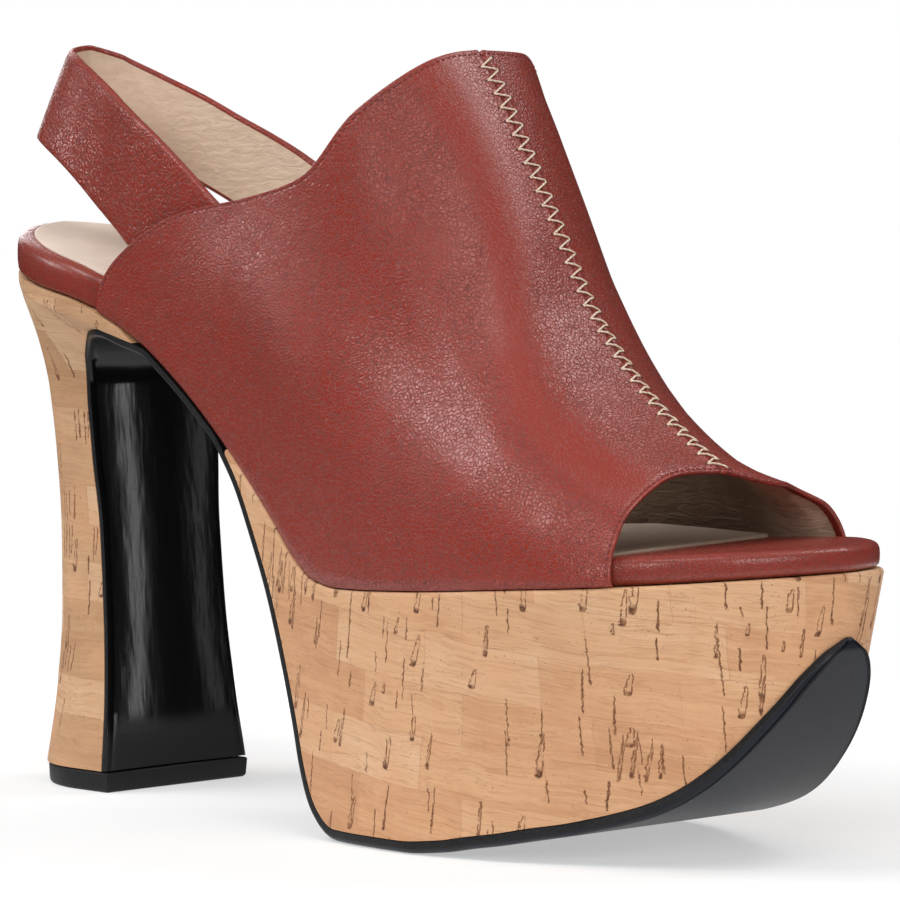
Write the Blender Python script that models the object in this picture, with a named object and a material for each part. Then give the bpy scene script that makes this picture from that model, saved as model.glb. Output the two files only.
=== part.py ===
"""Platform slingback shoe with an open toe, right foot, standing on a flat floor.

A leather vamp and a heel strap on a leather-covered insole, a cork-covered platform, a
tall cork-covered heel, and one black sole leather that runs from the toe, under the
platform, up its rear face, along the arch and down the front of the heel.

Frame: +X to the toe, +Y to the inner side of the foot, +Z up.  Sizes below are in
millimetres, X from the back of the heel seat and Z from the floor.  They are turned into
metres, about the middle of the shoe's box, when a mesh is made.
"""
import bmesh
import bpy
import numpy as np

MM = 0.001                  # metres in a millimetre
GAP = 0.3                   # clearance between two pieces that touch


def table(names, *rows):
    """Columns of a small table, by name."""
    return dict(zip(names.split(), np.array(rows, float).T))


# ---------------------------------------------------------------- driving sizes
LENGTH = 224.0              # heel back to toe tip, along the floor
HEEL_END = 40.0             # length of the elliptical end of the plan at the heel
TOE_END = 40.0              # length of the rounded end of the plan at the toe
TOE_POWER = 1.78            # 2 is an ellipse, less is more pointed
VAMP_WALL = 1.7             # vamp leather and its lining together
VAMP_PROUD = 0.3            # how far the vamp stands past the cork's edge
STRAP_WALL = 1.8            # folded strap leather and its lining
TOP_PIECE = 4.3             # thickness of the top piece under the heel

# Plan of the cork: half widths from the middle line, before its ends are rounded off,
# and the middle line's shift to the inner side.
PLAN = table(
    "x    outer inner shift",
    (0,   29.0, 28.5, 0),
    (40,  29.0, 28.5, 0),
    (70,  30.5, 27.5, 0),
    (100, 34.0, 28.0, 0),
    (130, 39.0, 33.0, 0),
    (150, 41.5, 38.0, 0),
    (168, 42.0, 40.5, 0),
    (185, 40.5, 39.0, 0.8),
    (225, 40.0, 38.0, 7.0),
)

# The foot bed: height of the cork's top, thickness of the insole, and how far the
# insole's edge is drawn in to make room for the vamp that wraps it.
BED = table(
    "x    z      thick",
    (0,   111.0, 8.8),
    (25,  107.1, 7.6),
    (38,  105.0, 7.1),
    (50,  101.0, 6.9),
    (60,  96.8,  6.8),
    (72,  89.5,  6.8),
    (90,  76.2,  6.8),
    (106, 62.4,  6.6),
    (113, 55.9,  6.4),
    (120, 51.9,  6.2),
    (128, 50.8,  6.0),
    (150, 51.8,  5.8),
    (176, 53.8,  5.6),
    (200, 55.5,  5.6),
    (225, 57.4,  4.9),
)
BED_TUCK = table(
    "x     outer inner",
    (0,    0.0,  0.0),
    (42.5, 0.2,  0.2),
    (45.5, 1.9,  1.9),
    (135,  1.9,  1.9),
    (150,  1.9,  3.0),
    (165,  1.9,  3.5),
    (194,  1.9,  3.2),
    (199,  1.8,  2.4),
    (206,  0.9,  1.0),
    (224,  0.4,  0.4),
)
# The insole's rounded edge: share of its thickness, and how far in from its widest.
BEAD = table("rise ease", (0, 0.6), (0.14, 0.1), (0.5, 0), (0.8, 0.2), (0.95, 0.9), (1, 2.2))

# Top line of the form that the vamp is pulled over.  Behind x = 128 it is the leg that
# the collar stands open for.  The powers round the two sides of its cross sections.
FORM = table(
    "x      z      outer inner",
    (40,    216.0, 2.2,  2.2),
    (80,    200.0, 2.2,  2.4),
    (105,   182.0, 2.2,  3.0),
    (120,   166.0, 2.2,  3.6),
    (126.4, 156.8, 2.2,  3.5),
    (130,   151.5, 2.2,  2.9),
    (136,   142.0, 2.2,  2.5),
    (147,   123.5, 2.2,  1.85),
    (157.5, 106.0, 2.2,  1.65),
    (163.5, 99.0,  2.3,  1.54),
    (170,   92.3,  2.3,  1.5),
    (184.5, 81.2,  2.5,  1.54),
    (190,   78.2,  2.55, 1.6),
    (196,   75.4,  2.6,  2.0),
    (204,   72.5,  2.6,  2.4),
)
RIDGE_SHIFT = 4.0           # the top line runs this far to the inner side

# Edge of the vamp at the collar in side view, from the corner on the insole to the
# middle seam, on the outer and the inner side; share is the part of the way between them.
COLLAR = table(
    "share x      z      inner_x inner_z",
    (0.00, 46.6,  102.6, 46.6,  102.6),
    (0.06, 48.2,  108.0, 48.2,  108.0),
    (0.12, 51.5,  112.2, 51.5,  112.2),
    (0.22, 59.0,  117.2, 59.0,  117.2),
    (0.36, 74.0,  124.2, 74.0,  124.2),
    (0.52, 95.0,  128.4, 95.0,  129.4),
    (0.66, 110.4, 133.7, 110.4, 137.0),
    (0.80, 118.9, 143.4, 119.6, 148.0),
    (0.91, 124.0, 151.4, 125.6, 155.8),
    (1.00, 126.4, 156.8, 126.4, 156.8),
)
# Edge of the toe opening; turn is 0 at the outer side, 1 on the top line, 2 at the inner.
TOE_EDGE = table(
    "turn  x",
    (0.00, 199.0),
    (0.30, 198.0),
    (0.60, 196.5),
    (1.00, 194.5),
    (1.40, 192.8),
    (1.70, 195.5),
    (2.00, 199.0),
)

# Sole leather in side view: its inner face from the foot of the heel to the toe, with
# its thickness.  half is its half width where it isn't the plan's, and draw is how far
# its edge lies inside the plan.  Rows with z = 0 lie just under the foot bed's line.
SOLE = table(
    "x      z      thick half  draw",
    (37.8,  4.6,   1.6,  20.4, 0),
    (36.6,  20.0,  1.6,  18.4, 0),
    (35.0,  38.0,  1.6,  17.1, 0),
    (33.6,  56.0,  1.6,  16.8, 0),
    (32.2,  72.0,  1.6,  17.7, 0),
    (30.9,  86.0,  1.6,  17.9, 0),
    (31.6,  92.0,  1.6,  19.0, 0),
    (34.4,  95.8,  1.6,  21.2, 0),
    (39.5,  98.2,  1.6,  24.9, 0),
    (46.0,  98.8,  1.7,  28.2, 0),
    (54.0,  97.2,  1.8,  29.3, 0),
    (62.0,  0,     1.9,  0,    0),
    (67.0,  0,     2.0,  0,    0),
    (72.0,  0,     2.0,  0,    0),
    (77.0,  0,     2.0,  0,    0),
    (82.0,  0,     2.0,  0,    0),
    (86.0,  0,     2.0,  0,    0),
    (89.5,  75.0,  2.0,  0,    0.1),
    (93.6,  69.6,  2.0,  0,    0.2),
    (98.6,  60.6,  2.0,  0,    0.3),
    (104.6, 48.6,  2.0,  0,    0.4),
    (109.8, 35.2,  2.0,  0,    0.5),
    (114.0, 22.8,  2.0,  0,    0.5),
    (116.8, 13.6,  2.1,  0,    0.5),
    (120.6, 6.4,   2.2,  0,    0.5),
    (127.0, 2.5,   2.4,  0,    0.5),
    (134.0, 2.4,   2.4,  0,    0.6),
    (147.0, 2.4,   2.4,  0,    1.6),
    (156.5, 3.2,   2.4,  0,    3.5),
    (163.0, 4.4,   2.4,  0,    5.1),
    (170.0, 5.6,   2.4,  0,    6.8),
    (176.0, 6.9,   2.4,  0,    8.6),
    (182.0, 8.0,   2.4,  0,    10.4),
    (188.0, 9.5,   2.4,  0,    12.0),
    (193.0, 11.0,  2.4,  0,    12.8),
    (197.0, 12.5,  2.4,  0,    13.0),
    (201.0, 14.6,  2.4,  0,    12.6),
    (205.0, 17.5,  2.4,  0,    11.9),
    (208.5, 20.8,  2.4,  0,    10.8),
    (212.0, 24.8,  2.4,  0,    9.2),
    (215.0, 28.9,  2.4,  0,    7.6),
    (218.0, 33.5,  2.3,  0,    5.8),
    (220.0, 37.1,  2.2,  0,    4.3),
    (221.8, 40.5,  2.0,  0,    2.9),
    (222.7, 42.5,  1.8,  0,    2.4),
    (223.2, 43.8,  1.6,  0,    2.9),
)

# Back of the cork heel, section by section; each section's front edge lies on the row of
# the sole's table with the number in row.
HEEL = table(
    "row   z_back x_back half",
    (0,    4.6,   7.4,   20.4),
    (1,    20.0,  9.8,   18.4),
    (2,    38.0,  11.3,  17.1),
    (3,    56.0,  11.2,  16.8),
    (4,    72.0,  10.4,  17.4),
    (5,    86.0,  9.2,   18.6),
    (6,    92.0,  8.3,   20.2),
    (7,    97.0,  7.2,   22.4),
    (8,    102.0, 5.5,   25.1),
    (9,    106.5, 3.3,   27.3),
    (10,   109.8, 1.1,   28.6),
    (10.5, 111.0, 0.3,   28.9),
)
HEEL_ROUND = 0.69           # share of the heel's length, from its back, that is rounded
PLATFORM_ROW = 17           # row of the sole's table where the cork platform begins

# Heel strap: its middle line from above, the heights of its two edges there, and how far
# its upper edge leans in over the lower one.
STRAP = table(
    "x    y      low    high   lean",
    (88,  -27.2, 95.0,  121.5, 0.0),
    (80,  -27.1, 99.5,  126.7, 0.3),
    (69,  -27.0, 106.0, 134.6, 0.6),
    (56,  -26.2, 114.5, 142.6, 1.2),
    (48,  -24.2, 119.7, 146.6, 2.0),
    (40,  -21.6, 124.2, 150.7, 2.8),
    (30,  -18.6, 129.8, 154.0, 4.0),
    (20,  -15.2, 134.2, 156.2, 5.6),
    (12,  -10.0, 136.6, 157.6, 7.2),
    (7.4, 0,     137.3, 158.0, 8.2),
    (12,  10.0,  134.6, 155.8, 7.2),
    (20,  14.8,  131.2, 152.2, 5.6),
    (30,  17.8,  126.8, 147.8, 4.0),
    (40,  20.6,  121.7, 142.6, 2.8),
    (48,  22.8,  117.8, 138.6, 2.0),
    (56,  24.6,  113.4, 134.2, 1.2),
    (69,  25.6,  106.0, 127.0, 0.6),
    (80,  26.0,  99.5,  120.4, 0.3),
    (88,  26.0,  95.0,  115.4, 0.0),
)


# ---------------------------------------------------------------- curves and outlines
def smooth(xs, ys):
    """Monotone cubic through the rows of a table, as a function of x."""
    steps = np.diff(xs)
    rises = np.diff(ys) / steps
    slopes = np.zeros_like(ys)
    slopes[0], slopes[-1] = rises[0], rises[-1]
    for i in range(1, len(xs) - 1):
        before, after = rises[i - 1], rises[i]
        if before * after > 0:
            near = 2 * steps[i] + steps[i - 1]
            far = steps[i] + 2 * steps[i - 1]
            slopes[i] = (near + far) / (near / before + far / after)

    def value(x):
        x = np.clip(x, xs[0], xs[-1])
        i = np.clip(np.searchsorted(xs, x, side="right") - 1, 0, len(xs) - 2)
        step = steps[i]
        t = (x - xs[i]) / step
        return (
            (1 + 2 * t) * (1 - t) ** 2 * ys[i]
            + t * (1 - t) ** 2 * step * slopes[i]
            + t * t * (3 - 2 * t) * ys[i + 1]
            + t * t * (t - 1) * step * slopes[i + 1]
        )

    return value


def columns(rows, by):
    """Every column of a table as a smooth function of the column named by."""
    return {name: smooth(rows[by], values) for name, values in rows.items() if name != by}


plan = columns(PLAN, "x")
bed = columns(BED, "x")
heel = columns(HEEL, "row")
bed_tuck = columns(BED_TUCK, "x")
form = columns(FORM, "x")
collar = columns(COLLAR, "share")
toe_edge = columns(TOE_EDGE, "turn")["x"]


def plan_edges(x, outer_tuck=0.0, inner_tuck=0.0):
    """Y of the plan's outer and inner edge at x, each drawn in by its tuck."""
    heel = np.clip(1 - x / HEEL_END, 0, 1)
    toe = np.clip((x - LENGTH + TOE_END) / TOE_END, 0, 1)
    share = np.sqrt(1 - heel ** 2) * (1 - toe ** TOE_POWER) ** (1 / TOE_POWER)
    middle = plan["shift"](x)
    outer = np.maximum(plan["outer"](x) * share - outer_tuck, 0)
    inner = np.maximum(plan["inner"](x) * share - inner_tuck, 0)
    return middle - outer, middle + inner


def both_sides(outer_points, inner_points):
    """Points down the outer side, then back along the inner side, as one loop."""
    return np.concatenate([outer_points, inner_points[::-1]])


# ---------------------------------------------------------------- sole leather's path
def sole_path():
    """The sole's inner face as functions of the distance from the foot of the heel."""
    x = SOLE["x"]
    z = np.where(SOLE["z"] > 0, SOLE["z"], bed["z"](x) - GAP)
    plan_outer, plan_inner = plan_edges(x, SOLE["draw"], SOLE["draw"])
    outer = np.where(SOLE["half"] > 0, -SOLE["half"], plan_outer)
    inner = np.where(SOLE["half"] > 0, SOLE["half"], plan_inner)
    distance = np.concatenate([[0], np.cumsum(np.hypot(np.diff(x), np.diff(z)))])
    parts = dict(x=x, z=z, thick=SOLE["thick"], outer=outer, inner=inner)
    return distance, {name: smooth(distance, values) for name, values in parts.items()}


SOLE_AT, sole = sole_path()


def sole_face(at, depth):
    """X and Z on the sole's path at a distance along it; depth > 0 is away from the cork."""
    step = 0.5
    tangent_x = sole["x"](at + step) - sole["x"](at - step)
    tangent_z = sole["z"](at + step) - sole["z"](at - step)
    size = np.hypot(tangent_x, tangent_z)
    return sole["x"](at) + depth * tangent_z / size, sole["z"](at) - depth * tangent_x / size


def finer(values, parts):
    """Each step of an increasing list cut into equal parts."""
    cuts = [np.linspace(a, b, parts, endpoint=False) for a, b in zip(values[:-1], values[1:])]
    return np.append(np.concatenate(cuts), values[-1])


# ---------------------------------------------------------------- vamp's form
def vamp_form(x, turn):
    """Point on the vamp's outside; turn is 0 at its outer edge, 1 on top, 2 at its inner edge."""
    low_outer, low_inner = plan_edges(x, -VAMP_PROUD, -VAMP_PROUD)
    edge = np.where(turn <= 1, low_outer, low_inner)
    power = np.where(turn <= 1, form["outer"](x), form["inner"](x))
    across = np.abs(np.cos(turn * np.pi / 2)) ** (2 / power)
    up = np.abs(np.sin(turn * np.pi / 2)) ** (2 / power)
    base = bed["z"](x) + GAP
    y = RIDGE_SHIFT + (edge - RIDGE_SHIFT) * across
    z = base + (form["z"](x) - base) * up
    return np.stack([x, y, z], -1)


def vamp_turn(x, z, side):
    """The turn at which the form reaches height z; side is -1 for outer and 1 for inner."""
    base = bed["z"](x) + GAP
    up = np.clip((z - base) / (form["z"](x) - base), 0, 1)
    power = form["outer" if side < 0 else "inner"](x)
    turn = np.arcsin(up ** (power / 2)) / (np.pi / 2)
    return turn if side < 0 else 2 - turn


def vamp_inside(x, z, side):
    """Y just inside the vamp's lining at x and z."""
    y = vamp_form(x, vamp_turn(x, z, side))[..., 1]
    return y - side * (VAMP_WALL + 2 * GAP)


# ---------------------------------------------------------------- meshes
def material(name, colour, roughness, coat=0.0):
    made = bpy.data.materials.new(name)
    made.use_nodes = True
    shader = made.node_tree.nodes["Principled BSDF"]
    shader.inputs["Base Color"].default_value = (*colour, 1)
    shader.inputs["Roughness"].default_value = roughness
    shader.inputs["Metallic"].default_value = 0.0
    shader.inputs["Coat Weight"].default_value = coat
    return made


def stacked(loops):
    """Closed mesh through a stack of loops made by both_sides, capped at both ends."""
    count = len(loops[0])
    points = np.concatenate(loops)
    faces = []
    for row in range(len(loops) - 1):
        start = row * count
        for i in range(count):
            j = (i + 1) % count
            faces.append((start + i, start + j, start + count + j, start + count + i))
    half = count // 2
    cap = [(i, i + 1, count - i - 2, count - i - 1) for i in range(half - 1)]
    top = (len(loops) - 1) * count
    faces += [tuple(top + i for i in face) for face in cap]
    faces += [tuple(reversed(face)) for face in cap]
    return points, faces


def tube(sections):
    """Closed mesh through cross sections along a path, with flat ends."""
    count = len(sections[0])
    points = np.concatenate(sections)
    faces = []
    for row in range(len(sections) - 1):
        start = row * count
        for i in range(count):
            j = (i + 1) % count
            faces.append((start + i, start + j, start + count + j, start + count + i))
    faces.append(tuple(reversed(range(count))))
    faces.append(tuple((len(sections) - 1) * count + i for i in range(count)))
    return points, faces


def solid(name, shape, look, origin, sharp=40.0):
    """Object from points in millimetres, with its faces turned outward."""
    points, faces = shape
    mesh = bpy.data.meshes.new(name)
    mesh.from_pydata([tuple(p) for p in (points - origin) * MM], [], faces)
    work = bmesh.new()
    work.from_mesh(mesh)
    bmesh.ops.remove_doubles(work, verts=work.verts, dist=0.00001)
    bmesh.ops.recalc_face_normals(work, faces=work.faces)
    work.to_mesh(mesh)
    work.free()
    mesh.shade_smooth()
    mesh.set_sharp_from_angle(angle=np.radians(sharp))
    mesh.materials.append(look)
    made = bpy.data.objects.new(name, mesh)
    bpy.context.collection.objects.link(made)
    return made


# ---------------------------------------------------------------- pieces
def flat_row(x, edges, z):
    """A loop over stations x between the two edges, at the heights z."""
    outer, inner = edges
    z = np.broadcast_to(z, x.shape)
    return both_sides(np.stack([x, outer, z], -1), np.stack([x, inner, z], -1))


def insole_shape():
    """Foot bed board under its leather, with its edge rounded like a bead."""
    heel_end = HEEL_END * (1 - np.cos(np.linspace(0, np.pi / 2, 9)))
    toe_end = LENGTH - TOE_END * (1 - np.cos(np.linspace(np.pi / 2, 0, 10)))
    middle = np.array([43.5, 45.5, 50, 60, 67, 74, 82, 90, 98, 106, 110, 114, 118, 123, 130, 145, 160, 173])
    x = np.concatenate([heel_end, middle, toe_end])
    loops = []
    for rise, ease in zip(BEAD["rise"], BEAD["ease"]):
        outer_tuck = bed_tuck["outer"](x) + ease
        edges = plan_edges(x, outer_tuck, bed_tuck["inner"](x) + ease)
        shrink = 1 - outer_tuck / (LENGTH / 2)
        moved = LENGTH / 2 + (x - LENGTH / 2) * shrink
        loops.append(flat_row(moved, edges, bed["z"](moved) + GAP + rise * bed["thick"](moved)))
    return stacked(loops)


def outsole_shape():
    """Sole leather in one piece, with its two outer edges bevelled."""
    at = finer(SOLE_AT, 2)
    sections = []
    for distance in at:
        thick = sole["thick"](distance)
        bevel = 0.35 * thick
        outer, inner = sole["outer"](distance), sole["inner"](distance)
        corners = (
            (0, outer), (thick - bevel, outer), (thick, outer + bevel),
            (thick, inner - bevel), (thick - bevel, inner), (0, inner),
        )
        section = []
        for depth, y in corners:
            x, z = sole_face(distance, depth)
            section.append((x, y, z))
        sections.append(np.array(section))
    return tube(sections)


def platform_shape():
    """Cork-covered block between the foot bed and the sole leather."""
    at = finer(SOLE_AT[PLATFORM_ROW:], 2)
    low_x, low_z = sole_face(at, -GAP)
    low_outer, low_inner = sole["outer"](at), sole["inner"](at)
    reach = np.clip((low_x - 190) / (low_x[-1] - 190), 0, 1)
    high_x = low_x + (LENGTH - low_x[-1]) * reach ** 2
    high_outer, high_inner = plan_edges(high_x)
    low = flat_row(low_x, (low_outer, low_inner), low_z)
    high = flat_row(high_x, (high_outer, high_inner), bed["z"](high_x))
    return stacked([low + (high - low) * share for share in (0, 0.35, 0.7, 1)])


def heel_row(row):
    """One section of the cork heel: round at the back, straight across the breast."""
    at = np.interp(row, np.arange(len(SOLE_AT)), SOLE_AT)
    z_back, x_back, half = [heel[name](row) for name in ("z_back", "x_back", "half")]
    x_front, z_front = sole_face(at, -GAP)
    turn = np.linspace(0, np.pi / 2, 8)
    along = np.concatenate([HEEL_ROUND * (1 - np.cos(turn)), np.linspace(HEEL_ROUND, 1, 4)[1:]])
    bulge = np.concatenate([np.sin(turn), np.ones(3)])
    straight = np.clip((along - HEEL_ROUND) / (1 - HEEL_ROUND), 0, 1)
    x = x_back + (x_front - x_back) * along
    z = z_back + (z_front - z_back) * along
    outer = half + (-sole["outer"](at) - half) * straight
    inner = half + (sole["inner"](at) - half) * straight
    return flat_row(x, (-outer * bulge, inner * bulge), z)


def heel_shape():
    """Cork-covered heel block, from its foot up to the seat and out under the arch."""
    rows = [heel_row(row) for row in np.arange(0, HEEL["row"][-1] + 0.1, 0.5)]
    seat = rows[-1]
    front = seat[:, 0].max()
    under_seat = seat[:, 0] < front
    seat[under_seat, 2] = bed["z"](seat[under_seat, 0])
    return stacked(rows)


def top_piece_shape():
    """Hard top piece on the heel's foot, its lower edge eased."""
    x_back, half = HEEL["x_back"][0], HEEL["half"][0]
    x_front, _ = sole_face(0.0, SOLE["thick"][0])
    turn = np.linspace(0, np.pi / 2, 8)
    loops = []
    for z, tuck in ((0, 0.9), (0.4, 0.45), (TOP_PIECE, 0.1)):
        back, front, wide = x_back + tuck, x_front - tuck, half - tuck
        round_part = HEEL_ROUND * (front - back)
        x = np.append(back + round_part * (1 - np.cos(turn)), front)
        y = np.append(wide * np.sin(turn), wide)
        loops.append(flat_row(x, (-y, y), z))
    return stacked(loops)


def vamp_surface():
    """Outer skin of the vamp, from the toe opening back to the collar."""
    turns = np.linspace(0, 2, 41)
    steps = np.linspace(0, 1, 25)
    points = []
    for turn in turns:
        share = 1 - abs(1 - turn)
        side = 1 if turn > 1 else -1
        collar_x = collar["inner_x" if turn > 1 else "x"](share)
        collar_z = collar["inner_z" if turn > 1 else "z"](share)
        collar_turn = 1.0 if share == 1 else vamp_turn(collar_x, collar_z, side)
        x = toe_edge(turn) + (collar_x - toe_edge(turn)) * steps
        points.append(vamp_form(x, turn + (collar_turn - turn) * steps))
    count = len(steps)
    faces = [
        (row * count + i, row * count + i + 1, (row + 1) * count + i + 1, (row + 1) * count + i)
        for row in range(len(turns) - 1) for i in range(count - 1)
    ]
    return np.concatenate(points), faces


def strap_shape():
    """Band behind the heel, both of its ends inside the vamp."""
    at = np.concatenate([[0], np.cumsum(np.hypot(np.diff(STRAP["x"]), np.diff(STRAP["y"])))])
    run = {name: smooth(at, values) for name, values in STRAP.items()}
    sections = []
    for distance in finer(at, 2):
        x, y, low, high, lean = [run[name](distance) for name in STRAP]
        along_x = run["x"](distance + 0.5) - run["x"](distance - 0.5)
        along_y = run["y"](distance + 0.5) - run["y"](distance - 0.5)
        size = np.hypot(along_x, along_y)
        out_x, out_y = -along_y / size, along_x / size
        section = []
        for height, shift, depth in (
            (low + 0.5, lean / 2, 0), (low, lean / 2, 0.5), (low, lean / 2, STRAP_WALL - 0.5),
            (low + 0.5, lean / 2, STRAP_WALL), (high - 0.5, -lean / 2, STRAP_WALL),
            (high, -lean / 2, STRAP_WALL - 0.5), (high, -lean / 2, 0.5), (high - 0.5, -lean / 2, 0),
        ):
            out = shift - depth
            corner_x, corner_y = x + out * out_x, y + out * out_y
            if corner_x > COLLAR["x"][0]:
                side = np.sign(corner_y)
                room = side * vamp_inside(corner_x, height, side) - depth
                corner_y = side * min(side * corner_y, room)
            section.append((corner_x, corner_y, height))
        sections.append(np.array(section))
    return tube(sections)


# ---------------------------------------------------------------- the shoe
def build():
    for old in list(bpy.data.objects):
        bpy.data.objects.remove(old, do_unlink=True)
    leather = material("tan_leather", (0.27, 0.055, 0.042), 0.45)
    strap_leather = material("strap_leather", (0.25, 0.05, 0.038), 0.5)
    bed_leather = material("insole_leather", (0.26, 0.052, 0.04), 0.45)
    platform_cork = material("platform_cork", (0.60, 0.33, 0.17), 0.65)
    heel_cork = material("heel_cork", (0.56, 0.33, 0.19), 0.65)
    sole_leather = material("black_sole", (0.012, 0.012, 0.012), 0.25, 0.5)
    rubber = material("black_top_piece", (0.015, 0.015, 0.015), 0.6)

    shapes = {
        "outsole": (outsole_shape(), sole_leather),
        "platform": (platform_shape(), platform_cork),
        "heel": (heel_shape(), heel_cork),
        "top_piece": (top_piece_shape(), rubber),
        "insole": (insole_shape(), bed_leather),
        "sling_strap": (strap_shape(), strap_leather),
        "upper": (vamp_surface(), leather),
    }
    points = np.concatenate([shape[0] for shape, _ in shapes.values()])
    low, high = points.min(0), points.max(0)
    origin = np.array([(low[0] + high[0]) / 2, (low[1] + high[1]) / 2, 0])
    made = {name: solid(name, shape, look, origin) for name, (shape, look) in shapes.items()}

    wall = made["upper"].modifiers.new("leather_and_lining", "SOLIDIFY")
    wall.thickness = VAMP_WALL * MM
    wall.offset = -1
    wall.use_even_offset = True
    wall.use_rim = True


build()
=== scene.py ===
"""Looks of a platform slingback shoe with an open toe, right foot, standing on a pale floor.

The sections follow the shoe as it is put together: cork platform, cork heel, sole leather,
top piece, insole and sock, vamp, seam, strap.  Lengths are in millimetres, X from the back
of the heel seat to the toe, Y to the inner side of the foot and Z from the floor, until
place() turns them into the frame's metres.
"""
import bpy
import numpy as np
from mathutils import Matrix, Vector


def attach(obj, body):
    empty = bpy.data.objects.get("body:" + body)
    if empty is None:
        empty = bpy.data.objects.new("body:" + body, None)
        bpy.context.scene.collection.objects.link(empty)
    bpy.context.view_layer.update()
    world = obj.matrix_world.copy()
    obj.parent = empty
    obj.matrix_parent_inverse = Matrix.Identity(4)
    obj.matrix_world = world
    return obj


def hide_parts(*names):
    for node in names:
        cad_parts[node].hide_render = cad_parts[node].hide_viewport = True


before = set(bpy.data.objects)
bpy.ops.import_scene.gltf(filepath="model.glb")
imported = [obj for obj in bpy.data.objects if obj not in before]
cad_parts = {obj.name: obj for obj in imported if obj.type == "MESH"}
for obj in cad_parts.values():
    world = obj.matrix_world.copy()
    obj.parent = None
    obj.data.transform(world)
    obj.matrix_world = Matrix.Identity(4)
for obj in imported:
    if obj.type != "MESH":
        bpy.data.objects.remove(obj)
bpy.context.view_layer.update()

# ---------------- camera
# A long lens from the shoe's outer front quarter, a little higher than the shoe itself and
# aimed down at its middle.
MIDDLE_OF_BOX = np.array([112.348, -0.749, 0.0])
CAMERA_AT = (969.3, -845.1, 163.2)
CAMERA_TO = (121.86, 0.0, 76.18)
LENS = 236.05


def place(points):
    """Points of the shoe's own millimetres as metres of the frame."""
    return (np.asarray(points, float) - MIDDLE_OF_BOX) * 0.001


def added(name, data):
    """A new object in the scene, made from its mesh, lamp or lens."""
    made = bpy.data.objects.new(name, data)
    bpy.context.collection.objects.link(made)
    return made


lens = bpy.data.cameras.new("camera")
lens.lens = LENS
lens.clip_end = 50
camera = added("camera", lens)
camera.location = place(CAMERA_AT)
aim = Vector(place(CAMERA_TO)) - camera.location
camera.rotation_euler = aim.to_track_quat("-Z", "Y").to_euler()
bpy.context.scene.camera = camera
bpy.context.scene.view_settings.view_transform = "Standard"

# ---------------- cork platform
# A light block under the forefoot, covered with thin sheets of cork laid in rows that run
# down a little to the toe.  Its upper edge follows the foot bed; the sole leather is
# cemented to its rear wall and its underside.
LENGTH = 224.0  # from the back of the heel seat to the toe
HEEL_END = 40.0  # how far the round of the heel's plan reaches from the back
TOE_END = 40.0  # how far the round of the toe's plan reaches from the tip
TOE_POWER = 1.78  # roundness of the toe's plan: 1 a wedge, 2 an ellipse
GAP = 0.3  # between pieces that lie on each other
SOLE_GAP = GAP * 0.6  # between the cork and the sole leather cemented to it


def table(names, *rows):
    """Columns of a small table, by name."""
    return dict(zip(names.split(), np.array(rows, float).T))


def smooth(xs, ys):
    """Monotone cubic through the rows of a table, as a function of x."""
    steps = np.diff(xs)
    rises = np.diff(ys) / steps
    slopes = np.zeros_like(ys)
    slopes[0], slopes[-1] = rises[0], rises[-1]
    for i in range(1, len(xs) - 1):
        before, after = rises[i - 1], rises[i]
        if before * after > 0:
            near = 2 * steps[i] + steps[i - 1]
            far = steps[i] + 2 * steps[i - 1]
            slopes[i] = (near + far) / (near / before + far / after)

    def value(x):
        x = np.clip(x, xs[0], xs[-1])
        i = np.clip(np.searchsorted(xs, x, side="right") - 1, 0, len(xs) - 2)
        step = steps[i]
        t = (x - xs[i]) / step
        return (
            (1 + 2 * t) * (1 - t) ** 2 * ys[i]
            + t * (1 - t) ** 2 * step * slopes[i]
            + t * t * (3 - 2 * t) * ys[i + 1]
            + t * t * (t - 1) * step * slopes[i + 1]
        )

    return value


def columns(rows):
    """Every column of a table as a smooth function of its first one."""
    (_, first), *others = rows.items()
    return {name: smooth(first, values) for name, values in others}


plan = columns(table(
    "x outer inner shift",
    (0, 29, 28.5, 0), (40, 29, 28.5, 0), (70, 30.5, 27.5, 0), (100, 34, 28, 0), (130, 39, 33, 0),
    (150, 41.5, 38, 0), (168, 42, 40.5, 0), (185, 40.5, 39, 0.8), (225, 40, 38, 7),
))
bed = columns(table(
    "x z thick",
    (0, 111, 8.8), (25, 107.1, 7.6), (38, 105, 7.1), (50, 101, 6.9), (60, 96.8, 6.8),
    (72, 89.5, 6.8), (90, 76.2, 6.8), (106, 62.4, 6.6), (113, 55.9, 6.4), (120, 51.9, 6.2),
    (128, 50.8, 6), (150, 51.8, 5.8), (176, 53.8, 5.6), (200, 55.5, 5.6), (225, 57.4, 4.9),
))
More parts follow.
